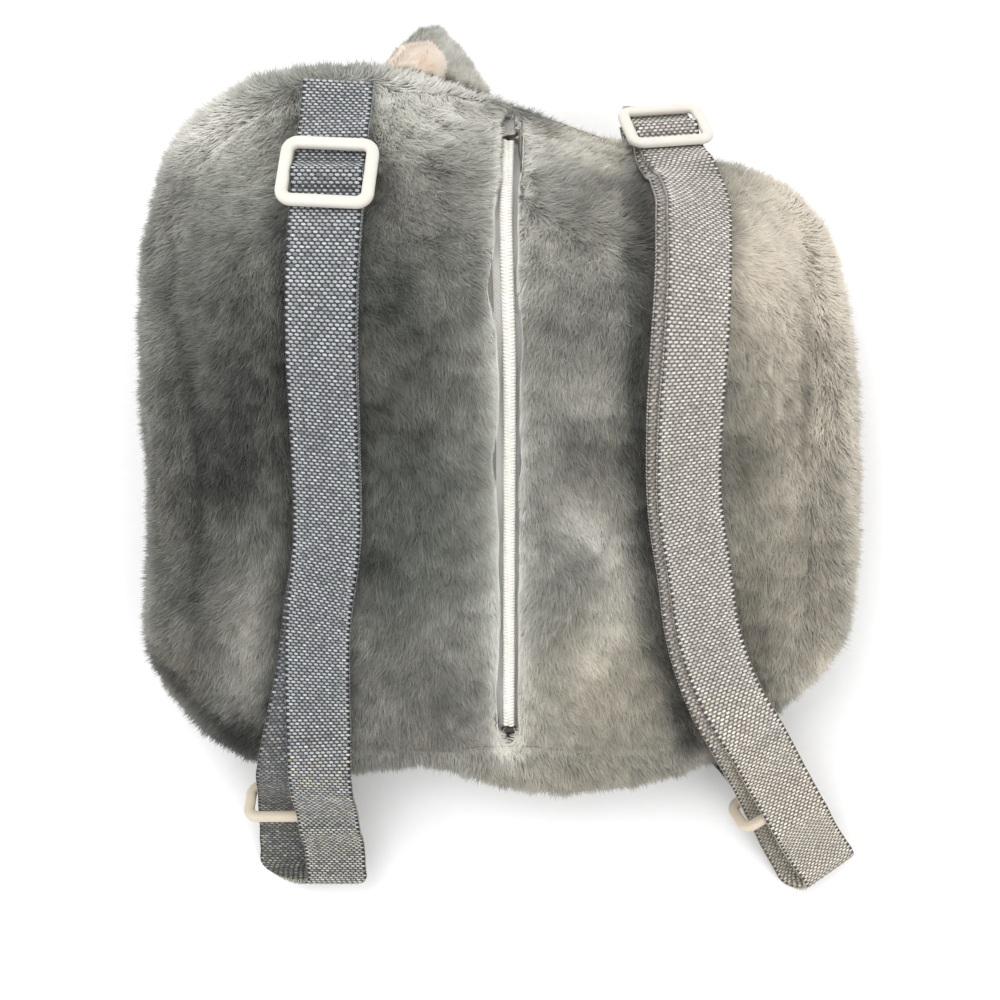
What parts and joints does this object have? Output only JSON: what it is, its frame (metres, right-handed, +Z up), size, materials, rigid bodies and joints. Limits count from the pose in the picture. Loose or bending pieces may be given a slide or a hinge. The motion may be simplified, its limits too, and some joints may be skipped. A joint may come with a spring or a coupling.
{
  "type": "animal backpack",
  "caption": "Child's plush animal backpack lying on its front, with a back zip, webbing shoulder straps, plastic slides and rings, and a small lined ear.",
  "frame": {"origin": "centre of the whole part's footprint, on the table the bag lies on", "axes": "+Z up from the table through the bag's back, +Y towards the bag's top, +X across the back to the right"},
  "size_m": [0.2948, 0.3476, 0.1124],
  "materials": {
    "plush": "short dense grey faux fur, mottled",
    "lining": "short beige plush",
    "webbing": "grey woven webbing flecked with white",
    "tab": "dark woven webbing",
    "ivory": "ivory moulded plastic",
    "zip_tape": "white woven tape",
    "zip_coil": "white nylon coil",
    "zip_metal": "dark nickel"
  },
  "bodies": {
    "root": {"back_panel_left": "plush", "back_panel_right": "plush", "side_band": "plush", "front_panel": "plush", "zip_tape_left": "zip_tape", "zip_tape_right": "zip_tape", "zip_coil": "zip_coil", "zip_slider": "zip_metal", "zip_bottom_stop": "zip_metal", "strap_left": "webbing", "slide_left": "ivory", "ring_left": "ivory", "tab_left": "tab", "strap_right": "webbing", "slide_right": "ivory", "ring_right": "ivory", "tab_right": "tab", "ear": "plush", "ear_lining": "lining"}
  },
  "joints": []
}
